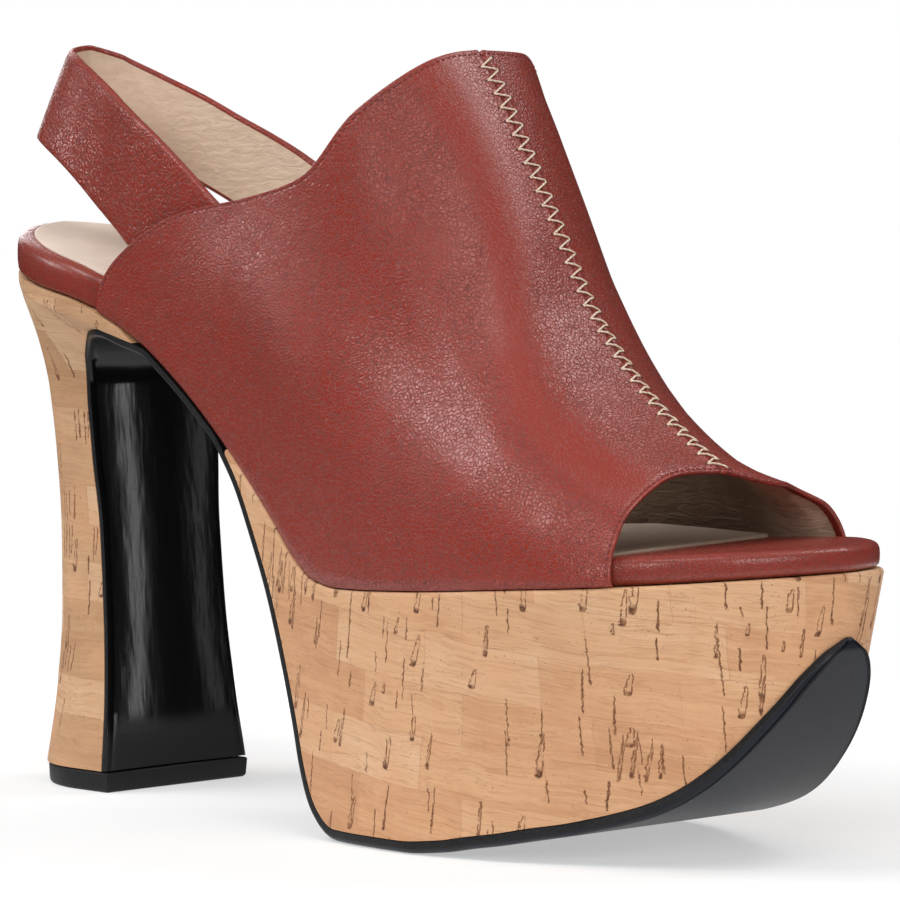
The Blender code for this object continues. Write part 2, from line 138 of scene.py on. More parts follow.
# Side view of the sole leather's inner face, from the foot of the heel to the toe.  Where z
# is 0 it follows the foot bed; where half is 0 its edges follow the plan, drawn in by draw.
SOLE = table(
    "x z thick half draw",
    (37.8, 4.6, 1.6, 20.4, 0), (36.6, 20, 1.6, 18.4, 0), (35, 38, 1.6, 17.1, 0),
    (33.6, 56, 1.6, 16.8, 0), (32.2, 72, 1.6, 17.7, 0), (30.9, 86, 1.6, 17.9, 0),
    (31.6, 92, 1.6, 19, 0), (34.4, 95.8, 1.6, 21.2, 0), (39.5, 98.2, 1.6, 24.9, 0),
    (46, 98.8, 1.7, 28.2, 0), (54, 97.2, 1.8, 29.3, 0), (62, 0, 1.9, 0, 0),
    *((x, 0, 2, 0, 0) for x in (67, 72, 77, 82, 86)), (89.5, 75, 2, 0, 0.1),
    (93.6, 69.6, 2, 0, 0.2), (98.6, 60.6, 2, 0, 0.3), (104.6, 48.6, 2, 0, 0.4),
    (109.8, 35.2, 2, 0, 0.5), (114, 22.8, 2, 0, 0.5), (116.8, 13.6, 2.1, 0, 0.5),
    (120.6, 6.4, 2.2, 0, 0.5), (127, 2.5, 2.4, 0, 0.5), (134, 2.4, 2.4, 0, 0.6),
    (147, 2.4, 2.4, 0, 1.6), (156.5, 3.2, 2.4, 0, 3.5), (163, 4.4, 2.4, 0, 5.1),
    (170, 5.6, 2.4, 0, 6.8), (176, 6.9, 2.4, 0, 8.6), (182, 8, 2.4, 0, 10.4),
    (188, 9.5, 2.4, 0, 12), (193, 11, 2.4, 0, 12.8), (197, 12.5, 2.4, 0, 13),
    (201, 14.6, 2.4, 0, 12.6), (205, 17.5, 2.4, 0, 11.9), (208.5, 20.8, 2.4, 0, 10.8),
    (212, 24.8, 2.4, 0, 9.2), (215, 28.9, 2.4, 0, 7.6), (218, 33.5, 2.3, 0, 5.8),
    (220, 37.1, 2.2, 0, 4.3), (221.8, 40.5, 2, 0, 2.9), (222.7, 42.5, 1.8, 0, 2.4),
    (223.2, 43.8, 1.7, 0, 2.9), (223.7, 45, 1.6, 0, 2.7),
)
PLATFORM_ROW = 17  # row of the sole's table where the platform begins
TOE_RUNS_ON = 190.0  # from here the platform's upper edge runs ahead of the sole
CORK_EDGE = 0.9  # rounding of the cork sheet over the platform's upper edge


def plan_edges(x, outer_tuck=0.0, inner_tuck=0.0):
    """Y of the plan's outer and inner edge at x, each drawn in by its tuck."""
    heel = np.clip(1 - x / HEEL_END, 0, 1)
    toe = np.clip((x - LENGTH + TOE_END) / TOE_END, 0, 1)
    share = np.sqrt(1 - heel ** 2) * (1 - toe ** TOE_POWER) ** (1 / TOE_POWER)
    middle = plan["shift"](x)
    outer = np.maximum(plan["outer"](x) * share - outer_tuck, 0)
    inner = np.maximum(plan["inner"](x) * share - inner_tuck, 0)
    return middle - outer, middle + inner


def sole_path():
    """The sole's inner face as functions of the distance from the foot of the heel."""
    x = SOLE["x"]
    z = np.where(SOLE["z"] > 0, SOLE["z"], bed["z"](x) - GAP)
    plan_outer, plan_inner = plan_edges(x, SOLE["draw"], SOLE["draw"])
    outer = np.where(SOLE["half"] > 0, -SOLE["half"], plan_outer)
    inner = np.where(SOLE["half"] > 0, SOLE["half"], plan_inner)
    distance = np.concatenate([[0], np.cumsum(np.hypot(np.diff(x), np.diff(z)))])
    parts = dict(x=x, z=z, thick=SOLE["thick"], outer=outer, inner=inner)
    return distance, {name: smooth(distance, values) for name, values in parts.items()}


SOLE_AT, sole = sole_path()


def sole_face(at, depth):
    """X and Z on the sole's path at a distance along it; depth > 0 is away from the cork."""
    step = 0.5
    tangent_x = sole["x"](at + step) - sole["x"](at - step)
    tangent_z = sole["z"](at + step) - sole["z"](at - step)
    size = np.hypot(tangent_x, tangent_z)
    return sole["x"](at) + depth * tangent_z / size, sole["z"](at) - depth * tangent_x / size


def finer(values, parts):
    """Each step of an increasing list cut into equal parts."""
    cuts = [np.linspace(a, b, parts, endpoint=False) for a, b in zip(values[:-1], values[1:])]
    return np.append(np.concatenate(cuts), values[-1])


def flat_row(x, edges, z):
    """A loop down the outer side and back along the inner side, at the heights z."""
    z = np.broadcast_to(z, x.shape)
    outer, inner = (np.stack([x, np.broadcast_to(y, x.shape), z], -1) for y in edges)
    return np.concatenate([outer, inner[::-1]])


def lengths(points):
    """Distance along a line of points, from its first."""
    return np.concatenate([[0], np.cumsum(np.linalg.norm(np.diff(points, axis=0), axis=1))])


def unit(vectors):
    """Vectors brought to a length of one."""
    return vectors / np.linalg.norm(vectors, axis=-1, keepdims=True)


def piece(name, points, faces, looks, uv=None, slots=None, sharp=None):
    """An object that rides on the shoe, smooth but for edges steeper than sharp, in degrees;
    uv is one place per point, in mm.
    """
    mesh = bpy.data.meshes.new(name)
    mesh.from_pydata([tuple(p) for p in place(points)], [], faces)
    for look in looks:
        mesh.materials.append(look)
    if slots is not None:
        mesh.polygons.foreach_set("material_index", slots)
    if uv is not None:
        layer = mesh.uv_layers.new(name="surface")
        corner = np.empty(len(mesh.loops), int)
        mesh.loops.foreach_get("vertex_index", corner)
        layer.data.foreach_set("uv", np.asarray(uv, float)[corner].ravel())
    mesh.shade_smooth()
    if sharp:
        mesh.set_sharp_from_angle(angle=np.radians(sharp))
    made = added(name, mesh)
    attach(made, "root")
    return made


def wall_faces(rows, count, closed=True):
    """Quads between rows of count points each."""
    faces = []
    for row in range(rows - 1):
        start = row * count
        for i in range(count if closed else count - 1):
            j = (i + 1) % count
            faces.append((start + i, start + j, start + count + j, start + count + i))
    return faces


def block(name, loops, look, uv_rows=None):
    """Closed block through a stack of loops made by flat_row."""
    count = len(loops[0])
    faces = wall_faces(len(loops), count)
    half = count // 2
    cap = [(i, i + 1, count - i - 2, count - i - 1) for i in range(half - 1)]
    top = (len(loops) - 1) * count
    faces += [tuple(top + i for i in face) for face in cap]
    faces += [tuple(reversed(face)) for face in cap]
    points = np.concatenate(loops)
    uv = points[:, :2] if uv_rows is None else np.concatenate(uv_rows)
    return piece(name, points, faces, [look], uv, sharp=50)


class Wire:
    """An output of a look's nodes that sums and products can be written with."""

    def __init__(self, look, socket):
        self.look, self.socket = look, socket

    def maths(self, operation, *others):
        values = dict(enumerate((self, *others)))
        return self.look.node("ShaderNodeMath", dict(operation=operation), values)

    def __add__(self, other):
        return self.maths("ADD", other)

    def __sub__(self, other):
        return self.maths("SUBTRACT", other)

    def __mul__(self, other):
        return self.maths("MULTIPLY", other)

    def __rsub__(self, other):
        return self.look.node("ShaderNodeMath", dict(operation="SUBTRACT"), {0: other, 1: self})

    __radd__ = __add__
    __rmul__ = __mul__

    def between(self, low, high):
        """0 below low, 1 above high and a smooth rise between them; low may be the larger."""
        settings = dict(interpolation_type="SMOOTHSTEP")
        ends = (low, high, 0, 1) if low < high else (high, low, 1, 0)
        values = dict(zip(("From Min", "From Max", "To Min", "To Max"), ends))
        return self.look.node("ShaderNodeMapRange", settings, {"Value": self, **values})


class Look:
    """A material, or the world's light, under way: set values, and wires into what varies."""

    def __init__(self, name, constants=None, kind="materials", shader="Principled BSDF"):
        self.material = getattr(bpy.data, kind).new(name)
        self.material.use_nodes = True
        self.nodes = self.material.node_tree.nodes
        self.links = self.material.node_tree.links
        self.shader = self.nodes[shader]
        for socket, value in (constants or {}).items():
            self.shader.inputs[socket].default_value = value

    def node(self, kind, settings=None, values=None, out=0):
        """A node of a type, with its settings and its sockets' values or wires."""
        made = self.nodes.new(kind)
        for name, value in (settings or {}).items():
            if name == "stops":
                ramp = made.color_ramp
                while len(ramp.elements) < len(value):
                    ramp.elements.new(0.5)
                for element, (at, colour) in zip(ramp.elements, value):
                    element.position, element.color = at, (*colour, 1)
            else:
                setattr(made, name, value)
        for name, value in (values or {}).items():
            socket = made.inputs[name]
            if isinstance(value, Wire):
                self.links.new(value.socket, socket)
            elif hasattr(value, "__len__") and len(value) == 3 and socket.type == "RGBA":
                socket.default_value = (*value, 1)
            else:
                socket.default_value = value
        return Wire(self, made.outputs[out])

    def feed(self, name, wire):
        self.links.new(wire.socket, self.shader.inputs[name])

    def where(self, stretch=(1, 1, 1), turn=0.0, uv=False):
        """Place on the piece, in mm: its surface map, or its place in the shoe."""
        source = self.node("ShaderNodeTexCoord", out="UV" if uv else "Object")
        size = [s * (1 if uv else 1000) for s in stretch]
        values = {"Vector": source, "Rotation": (0, 0, turn), "Scale": size}
        return self.node("ShaderNodeMapping", dict(vector_type="POINT"), values)

    def noise(self, where, scale, detail=2.0, roughness=0.5, distortion=0.0, out="Fac"):
        values = {"Vector": where, "Scale": scale, "Detail": detail,
                  "Roughness": roughness, "Distortion": distortion}
        return self.node("ShaderNodeTexNoise", None, values, out)

    def cell_edges(self, where, scale):
        """How far a place lies from the nearest edge between irregular cells."""
        settings = dict(feature="DISTANCE_TO_EDGE")
        values = {"Vector": where, "Scale": scale}
        return self.node("ShaderNodeTexVoronoi", settings, values, "Distance")

    def parts(self, whole, kind="Color"):
        """The three channels of a colour, or with kind XYZ those of a place."""
        first = self.node("ShaderNodeSeparate" + kind, None, {0: whole})
        return [Wire(self, socket) for socket in first.socket.node.outputs[:3]]

    def joined(self, x, y, z=0.0):
        return self.node("ShaderNodeCombineXYZ", None, {"X": x, "Y": y, "Z": z})

    def mix(self, share, first, second):
        """One colour passing into another."""
        settings = dict(data_type="RGBA", clamp_factor=True)
        return self.node("ShaderNodeMix", settings, {0: share, 6: first, 7: second}, 2)

    def shifted(self, where, by, amount):
        """A place moved about by a coloured noise."""
        centred = self.node("ShaderNodeVectorMath", dict(operation="SUBTRACT"),
                            {0: by, 1: (0.5, 0.5, 0.5)})
        scaled = self.node("ShaderNodeVectorMath", dict(operation="SCALE"),
                           {0: centred, "Scale": amount})
        return self.node("ShaderNodeVectorMath", dict(operation="ADD"), {0: where, 1: scaled})

    def surface(self, colour, roughness, height, distance, strength):
        """What varies over the piece; a height of 0 to 1 stands for a distance in mm."""
        values = {"Height": height, "Distance": distance * 0.001, "Strength": strength}
        relief = self.node("ShaderNodeBump", None, values)
        for name, wire in (("Base Color", colour), ("Roughness", roughness), ("Normal", relief)):
            if wire:
                self.feed(name, wire)


def pores(look, across, up, row, seed, cell, group, share, widths, lean, low):
    """Dark pores of cork: in some cells of each row, a leaning slit or a loop with a dark foot."""
    level = (up * (1 / row)).maths("FLOOR")
    ragged = look.noise(look.joined(across * 0.8, up * 0.7, seed), 1.2, 3, 0.65)
    along = (across + level * 4.7) * (1 / cell)
    chance = look.node("ShaderNodeTexWhiteNoise", dict(noise_dimensions="3D"),
                       {"Vector": look.joined(along.maths("FLOOR"), level, seed)}, "Color")
    _, place_at, size = look.parts(chance)
    band = (along * (1 / group)).maths("FLOOR")
    pick = look.node("ShaderNodeTexWhiteNoise", dict(noise_dimensions="3D"),
                     {"Vector": look.joined(band, level, seed + 3)}, "Value")
    reach = place_at * (0.48 - low) + low
    rise = (up * (1 / row)).maths("FRACT") - 0.5 - (size - 0.5) * (1 - reach * 2)
    height = rise.maths("DIVIDE", reach)
    sideways = (along.maths("FRACT") - 0.5 - (place_at - 0.5) * 0.4) * cell
    sideways = sideways - rise * (size * 2.4 - 0.5) * (row * lean) + (ragged - 0.5) * 1.3
    sideways = sideways.maths("ABSOLUTE")
    loop = size.between(0.55, 0.57)
    belly = (1 - height.maths("POWER", 6.0)).maths("MAXIMUM", 0.0).maths("SQRT")
    belly = belly * (0.75 - height * 0.35)
    wide = belly * (ragged * 1.2 + 0.3) * (size * widths[0] + loop * widths[1])
    beyond = sideways - wide
    broken = look.noise(look.joined(across, up * 0.6, seed + 5), 1.7, 2, 0.6).between(0.34, 0.48)
    rim = beyond.maths("ABSOLUTE").between(0.20, 0.06) * broken
    filled = ((1 - loop) + height.between(-0.45, -0.75)).maths("MINIMUM", 1.0)
    foot = beyond.between(0.10, -0.04) * filled
    shown = height.maths("ABSOLUTE").between(1.03, 0.9) * pick.between(1 - share, 1.01 - share)
    return rim.maths("MAXIMUM", foot) * shown, foot * shown


def cork(name, tone, turn, seed, row, patches, marks):
    """Thin cork sheet: wavy growth lines, tone by sheet, and dark pores in short streaks."""
    look = Look(name)
    here = look.where(uv=True, turn=turn)
    moved = look.shifted(here, look.noise(here, 0.07, 2, out="Color"), 3.5)
    bricks = {"Vector": look.shifted(here, look.noise(here, 0.2, 1, out="Color"), 0.8),
              "Scale": 1.0, "Mortar Size": 0.10, "Mortar Smooth": 0.6, "Brick Width": 27.0,
              "Row Height": row}
    sheet = look.node("ShaderNodeTexBrick", dict(offset=0.37), {
        **bricks, "Color1": (0, 0, 0), "Color2": (1, 1, 1), "Mortar": (0.5, 0.5, 0.5)}, "Color")
    joint = Wire(look, sheet.socket.node.outputs["Fac"])
    lines = look.node("ShaderNodeVectorMath", dict(operation="MULTIPLY"),
                      {0: moved, 1: (0.035, 1, 1)})
    thin = look.noise(lines, 2.0, 3, 0.6)
    fine = look.noise(lines, 0.85, 3, 0.62)
    broad = look.noise(lines, 0.22, 2, 0.5)
    ring = look.noise(lines, 0.30, 2, 0.45)
    ring = ((ring * 9).maths("FRACT") - 0.5).maths("ABSOLUTE").between(0.10, 0.0)
    specks = look.noise(here, 1.6, 3, 0.6)
    clouds = look.noise(here, 0.12, 3, 0.6)
    tones = (look.parts(sheet)[0] - 0.5) * patches + broad * 0.5 + clouds * 0.5 + fine * 0.55 - 0.26
    colour = look.node("ShaderNodeValToRGB", dict(stops=tone), {"Fac": tones})
    joints = joint * patches * clouds.between(0.35, 0.6)
    rings = ring * 0.30 + thin.between(0.50, 0.36) * 0.30 + joints
    colour = look.mix(rings, colour, (0.42, 0.19, 0.085))
    blush = look.noise(here, 0.055, 2, 0.5).between(0.48, 0.66)
    colour = look.mix(blush * 0.40, colour, (0.68, 0.36, 0.185))
    colour = look.mix(specks.between(0.55, 0.75) * 0.20, colour, (0.80, 0.55, 0.35))
    across, up, _ = look.parts(here, "XYZ")
    dark = specks.between(0.62, 0.69) * clouds.between(0.46, 0.55) * 0.65
    black = 0.0
    for number, values in enumerate(marks):
        mark, core = pores(look, across, up + number * row * 0.41, row, seed + number * 13, *values)
        dark = dark.maths("MAXIMUM", mark)
        black = core.maths("MAXIMUM", black)
    shade = look.noise(here, 0.9, 2, 0.5)
    brown = dark * (shade.between(0.25, 0.55) * 0.30 + 0.60)
    colour = look.mix(brown, colour, (0.19, 0.060, 0.018))
    colour = look.mix(black * shade.between(0.42, 0.62) * 0.75, colour, (0.060, 0.018, 0.006))
    relief = fine * 0.4 + specks * 0.35 - dark * 1.1 - joint * 0.3 - ring * 0.3
    look.surface(colour, dark * 0.2 + fine * 0.12 + 0.54, relief, 0.12, 0.8)
    return look.material


PLATFORM_TONES = [(0.0, (0.47, 0.225, 0.105)), (0.3, (0.59, 0.305, 0.15)),
                  (0.55, (0.67, 0.38, 0.20)), (0.85, (0.72, 0.45, 0.265))]
# Each kind of pore: cell, cells in a group, share of groups, half widths, lean, least height.
PLATFORM_MARKS = (
    (5.3, 1, 0.40, (0.30, 0.55), 0.17, 0.18),
    (6.7, 1, 0.40, (0.22, 0.55), 0.13, 0.20),
    (3.7, 1, 0.20, (0.20, 0.20), 0.10, 0.10),
    (2.7, 4, 0.05, (0.10, 0.28), 0.15, 0.30),
)
platform_cork = cork("platform_cork", PLATFORM_TONES, 0.11, 3.0, 10.5, 0.55, PLATFORM_MARKS)

at = finer(SOLE_AT[PLATFORM_ROW:], 5)
low_x, low_z = sole_face(at, -SOLE_GAP)
low_edges = sole["outer"](at), sole["inner"](at)
reach = np.clip((low_x - TOE_RUNS_ON) / (low_x[-1] - TOE_RUNS_ON), 0, 1)
high_x = low_x + (LENGTH - low_x[-1]) * reach ** 2
high_edges = plan_edges(high_x)
low = flat_row(low_x, low_edges, low_z)
high = flat_row(high_x, high_edges, bed["z"](high_x))
round_about = lengths(high)
inward = [LENGTH / 2, 0, 0] - high
inward[:, 2] = 0
inward = unit(inward)
loops = [low + (high - [0, 0, CORK_EDGE] - low) * share for share in np.linspace(0, 1, 25)]
for turn in np.linspace(0, np.pi / 2, 6)[1:]:
    drop = CORK_EDGE * (1 - np.sin(turn))
    loops.append(high + inward * CORK_EDGE * (1 - np.cos(turn)) - [0, 0, drop])
maps = [np.stack([round_about, loop[:, 2]], -1) for loop in loops]
platform = block("platform_block", loops, platform_cork, maps)
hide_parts("platform")

# ---------------- cork heel
# A tall moulded heel covered with the same cork, its sheets standing upright.  It is round
# at the back, narrowest a third of the way up, and flares into the seat and the arch.
HEEL = table(
    "row z_back x_back half",
    (0, 4.6, 7.4, 20.4), (1, 20, 9.8, 18.4), (2, 38, 11.3, 17.1), (3, 56, 11.2, 16.8),
    (4, 72, 10.4, 17.4), (5, 86, 9.2, 18.6), (6, 92, 8.3, 20.2), (7, 97, 7.2, 22.4),
    (8, 102, 5.5, 25.1), (9, 106.5, 3.3, 27.3), (10, 109.8, 1.1, 28.6), (10.5, 111, 0.3, 28.9),
)
HEEL_ROUND = 0.69  # share of the heel's length, from its back, that is rounded
heel = columns(HEEL)


def round_back(back, front, half):
    """X and half width of an outline from the back to the front, and the share of the way."""
    turn = np.linspace(0, np.pi / 2, 22)
    straight = np.linspace(HEEL_ROUND, 1, 5)[1:]
    along = np.concatenate([HEEL_ROUND * (1 - np.cos(turn)), straight])
    bulge = np.concatenate([np.sin(turn), np.ones(len(straight))])
    return back + (front - back) * along, half * bulge, along


def heel_row(row):
    """One section of the heel: round at the back, straight across the breast."""
    at = np.interp(row, np.arange(len(SOLE_AT)), SOLE_AT)
    z_back, x_back, half = [heel[name](row) for name in ("z_back", "x_back", "half")]
    x_front, z_front = sole_face(at, -SOLE_GAP)
    x, y, along = round_back(x_back, x_front, half)
    straight = np.clip((along - HEEL_ROUND) / (1 - HEEL_ROUND), 0, 1)
    outer = y + (-sole["outer"](at) - half) * straight
    inner = y + (sole["inner"](at) - half) * straight
    return flat_row(x, (-outer, inner), z_back + (z_front - z_back) * along)


HEEL_TONES = [(0.0, (0.44, 0.235, 0.115)), (0.3, (0.53, 0.30, 0.155)),
              (0.55, (0.60, 0.355, 0.195)), (0.85, (0.68, 0.44, 0.26))]
HEEL_MARKS = ((1.4, 4, 0.15, (0.09, 0.0), 0.07, 0.36), (5.9, 1, 0.40, (0.22, 0.40), 0.05, 0.20))
heel_cork = cork("heel_cork", HEEL_TONES, 0.03, 57.0, 8.2, 0.75, HEEL_MARKS)

loops = [heel_row(row) for row in np.arange(0, HEEL["row"][-1] + 0.05, 0.125)]
seat = loops[-1]
under_seat = seat[:, 0] < seat[:, 0].max()
seat[under_seat, 2] = bed["z"](seat[under_seat, 0])
maps = []
for loop in loops:
    half = len(loop) // 2
    side = lengths(loop[:half])
    maps.append(np.stack([np.concatenate([side, -side[::-1]]), loop[:, 2]], -1))
heel_block = block("heel_block", loops, heel_cork, maps)
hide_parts("heel")

# ---------------- sole leather
# One strip of black sole leather, glossy on the heel's front and satin under the foot.
# Its edges are trimmed, bevelled and inked.
DULL = {"Specular IOR Level": 0.3}


def ends(rows, count):
    """The two faces that close a wall of rows with count points each."""
    return [tuple(reversed(range(count))), tuple((rows - 1) * count + i for i in range(count))]


sole_look = Look("black_sole", DULL)
run = sole_look.parts(sole_look.where(uv=True), "XYZ")[1]
walked_and_blue_sheen = run.between(140, 200)
polished = run.between(91, 85) * run.between(3, 12)
pebble = sole_look.noise(sole_look.where(), 1.1, 3, 0.6)
waves = sole_look.noise(sole_look.where((1.0, 0.35, 1.0), uv=True), 0.16, 2, 0.5)
drawn = sole_look.noise(sole_look.where((1.0, 0.15, 1.0), uv=True), 0.9, 2, 0.5)
# Painted reflection: under the forefoot the black is tinted blue, for the bluish sheen of the room
# on its satin face.
black = sole_look.mix(walked_and_blue_sheen, (0.003, 0.003, 0.0033), (0.004, 0.0055, 0.011))
gloss = pebble * 0.06 + 0.42 - polished * 0.35 - walked_and_blue_sheen * 0.05
height = (waves + drawn * 0.16 + pebble * 0.03) * polished * 0.4 + pebble * walked_and_blue_sheen * 0.35
sole_look.surface(black, gloss, height, 0.14, 1.0)
edge_look = Look("sole_edge", DULL)
nap = edge_look.noise(edge_look.where(), 2.4, 3, 0.65)
inked = edge_look.mix(nap.between(0.4, 0.75), (0.004, 0.004, 0.005), (0.018, 0.019, 0.021))
edge_look.surface(inked, nap * 0.3 + 0.32, nap, 0.12, 0.8)

HOLLOW = 0.9  # the heel's front is drawn in along its middle
HOLLOW_END = 95.0  # distance along the sole at which the heel's front is flat again
HOLLOW_FADE = 8.0  # length over which the hollow runs out before that
NOSE = 2.4  # length over which the sole's end at the toe thins out
TIP = 2.6  # length before that end in which the sections stand close
at = finer(SOLE_AT, 6)
end = SOLE_AT[-1]
at = np.concatenate([at[at < end - TIP], end - TIP * (1 - np.sin(np.linspace(0, np.pi / 2, 14)))])
# The sole's edge: share of the thickness, and how far it is drawn in there.
profile = (
    (0.0, 0.0), (0.30, 0.0), (0.50, 0.0), (0.58, 0.03), (0.70, 0.12), (0.83, 0.30), (0.93, 0.52),
    (1.0, 0.85),
)
across = np.linspace(0, 1, 27)[1:-1]
points, maps = [], []
for distance in at:
    left = np.clip((end - distance) / NOSE, 0.02, 1)
    thick = sole["thick"](distance) * np.sqrt(1 - (1 - left) ** 2)
    outer, inner = sole["outer"](distance), sole["inner"](distance)
    hollow = HOLLOW * np.clip((HOLLOW_END - distance) / HOLLOW_FADE, 0, 1)
    corners = [(share * thick, outer + tuck * thick) for share, tuck in profile]
    corners += [(thick - hollow * 4 * share * (1 - share), outer + (inner - outer) * share)
                for share in across]
    corners += [(share * thick, inner - tuck * thick) for share, tuck in reversed(profile)]
    for depth, y in corners:
        x, z = sole_face(distance, depth)
        points.append((x, y, z))
        maps.append((y, distance))
count = len(corners)
faces = wall_faces(len(at), count)
trimmed = (0, 1, 2, count - 4, count - 3, count - 2)  # the upright part of both edges
slots = [int(i % count in trimmed) for i in range(len(faces))]
faces += ends(len(at), count)
slots += [1, 1]
looks = [sole_look.material, edge_look.material]
outsole = piece("sole_leather", points, faces, looks, maps, slots, 50)
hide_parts("outsole")

# ---------------- top piece
# A hard black rubber lift nailed under the heel, where it takes the wear, and scoured flush
# with the cork around it.
TOP_PIECE = 4.3
# The lift's side: height, and how far it is drawn in there.
LIFT = ((0, 1.1), (0.12, 0.7), (0.45, 0.4), (0.9, 0.28), (3.9, 0.1), (4.2, 0.2), (TOP_PIECE, 0.4))
rubber = Look("black_top_piece", {**DULL, "Base Color": (0.006, 0.006, 0.0065, 1)})
scoured = rubber.noise(rubber.where((1, 1, 0.25)), 1.9, 3, 0.6)
rubber.surface(None, scoured * 0.3 + 0.42, scoured, 0.06, 0.7)
loops = []
x_front, _ = sole_face(0.0, SOLE["thick"][0])
for z, tuck in LIFT:
    x, y, _ = round_back(HEEL["x_back"][0] + tuck, x_front - tuck, HEEL["half"][0] - tuck)
    loops.append(flat_row(x, (-y, y), z))
top_piece = block("heel_top_piece", loops, rubber.material)
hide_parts("top_piece")

# ---------------- insole and sock
# A board and its padding wrapped in the vamp's leather, so that its edge shows as a bead.
# A cream leather sock is cemented on top, a rim's width in, and stops short of the toe.
bed_tuck = columns(table(
    "x outer inner",
    (0, 0, 0), (42.5, 0.2, 0.2), (45.5, 1.9, 1.9), (135, 1.9, 1.9), (150, 1.9, 3),
    (165, 1.9, 3.5), (194, 1.9, 3.2), (199, 1.8, 2.4), (206, 0.9, 1), (224, 0.4, 0.4),
))
# The bead: share of the insole's thickness, and how far it is drawn in there.
BEAD = (
    (0.0, 0.9), (0.04, 0.45), (0.12, 0.14), (0.28, 0.02), (0.5, 0.0), (0.68, 0.05), (0.8, 0.2),
    (0.89, 0.5), (0.95, 0.95), (0.985, 1.55), (1.0, 2.3), (1.0, 3.4), (1.0, 5.0),
)
SOCK_RIM = 2.7  # from the insole's edge to the sock's
SOCK_THICK = 0.45
ARCH_PAD = 2.6  # how much thicker the padding under the sock is at its inner side
SOCK_FRONT = 190.5  # where the sock ends on the middle line
SOCK_SLANT = 0.27  # how much further back it ends for each mm to the inner side


def leather(name, dye, cell=0.85, gloss=0.18, relief=0.15, calm=None):
    """Dyed calf leather: small domed pebbles with creases between them, painted dark as shade;
    flatter where calm is 1.
    """
    look = Look(name)
    here = look.where()
    moved = look.shifted(here, look.noise(here, 0.35, 2, out="Color"), 1.2)
    moved = look.shifted(moved, look.noise(here, 1.3, 2, out="Color"), 0.6)
    edge = look.cell_edges(moved, 1 / cell)
    pebble = edge.between(0.0, 0.11) * 0.38 + edge.between(0.0, 0.50) * 0.24
    small = look.cell_edges(moved, 2.2 / cell).between(0.0, 0.4)
    wrinkle = look.noise(moved, 0.55 / cell, 3, 0.65)
    fine = look.noise(here, 3.2, 2, 0.6)
    uneven = look.noise(here, 0.12, 2, 0.5).between(0.25, 0.60) * 0.35 + 0.65
    if calm is not None:
        uneven = uneven * (1 - calm(look) * 0.6)
    shaded_crease = edge.between(0.14, 0.03) * uneven * (wrinkle.between(0.38, 0.60) * 0.55 + 0.45)
    # Painted shade: the creases are coloured far darker than the dye.
    colour = look.mix(shaded_crease * 0.60 + fine.between(0.6, 0.3) * 0.10, dye, [c * 0.22 for c in dye])
    grain = (pebble + small * 0.12 + wrinkle * 0.55) * uneven + fine * 0.05
    look.surface(colour, fine * 0.12 + shaded_crease * 0.36 + gloss, grain, relief, 1.0)
    return look.material


def drawn_in(stations, ease):
    """X and the two edges of the insole's plan, drawn in all round."""
    tuck = bed_tuck["outer"](stations) + ease
    edges = plan_edges(stations, tuck, bed_tuck["inner"](stations) + ease)
    return LENGTH / 2 + (stations - LENGTH / 2) * (1 - tuck / (LENGTH / 2)), edges


bead_leather = leather("insole_leather", (0.270, 0.034, 0.021), 0.6, 0.17, 0.05)
heel_end = HEEL_END * (1 - np.cos(np.linspace(0, np.pi / 2, 26)))
toe_end = LENGTH - TOE_END * (1 - np.cos(np.linspace(np.pi / 2, 0, 34)))
stations = np.concatenate([heel_end, np.arange(41.5, 183, 1.8), toe_end])
loops = []
for rise, ease in BEAD:
    moved, edges = drawn_in(stations, ease)
    loops.append(flat_row(moved, edges, bed["z"](moved) + GAP + rise * bed["thick"](moved)))
insole = block("insole_board", loops, bead_leather)
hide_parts("insole")

sock_look = Look("sock_leather", {"Specular IOR Level": 0.2})
nap = sock_look.noise(sock_look.where(), 2.2, 4, 0.65)
wear = sock_look.noise(sock_look.where(), 0.06, 3, 0.6)
# Painted shade: the sock is coloured much darker ahead of the heel seat, for the shade inside the
# shoe.
toe_shade = sock_look.parts(sock_look.where(), "XYZ")[0].between(20, 75)
pale = sock_look.mix(wear.between(0.35, 0.7), (0.62, 0.50, 0.42), (0.70, 0.575, 0.49))
sock_with_toe_shade = sock_look.mix(toe_shade, pale, (0.30, 0.215, 0.16))
sock_look.surface(sock_with_toe_shade, nap * 0.15 + 0.5, nap, 0.05, 0.6)
stations = np.concatenate([heel_end, np.arange(41.5, 190, 1.8), [SOCK_FRONT]])
loops = []
for rise, ease in ((0.0, 0.0), (0.6, 0.02), (0.9, 0.18), (1.0, 0.5), (1.0, 1.5)):
    moved, edges = drawn_in(stations, SOCK_RIM + ease)
    loop = flat_row(np.minimum(moved, SOCK_FRONT - ease), edges, 0.0)
    loop[:, 0] -= SOCK_SLANT * loop[:, 1] * np.clip((loop[:, 0] - 120) / 70, 0, 1) ** 2
    loop[:, 2] = bed["z"](loop[:, 0]) + GAP + bed["thick"](loop[:, 0]) + SOCK_THICK * rise
    padded = np.interp(loop[:, 0], (105, 135, 150, 182), (0, 1, 1, 0))
    loop[:, 2] += ARCH_PAD * rise * padded * (loop[:, 1] > 0)
    loops.append(loop)
sock = block("sock", loops, sock_look.material)

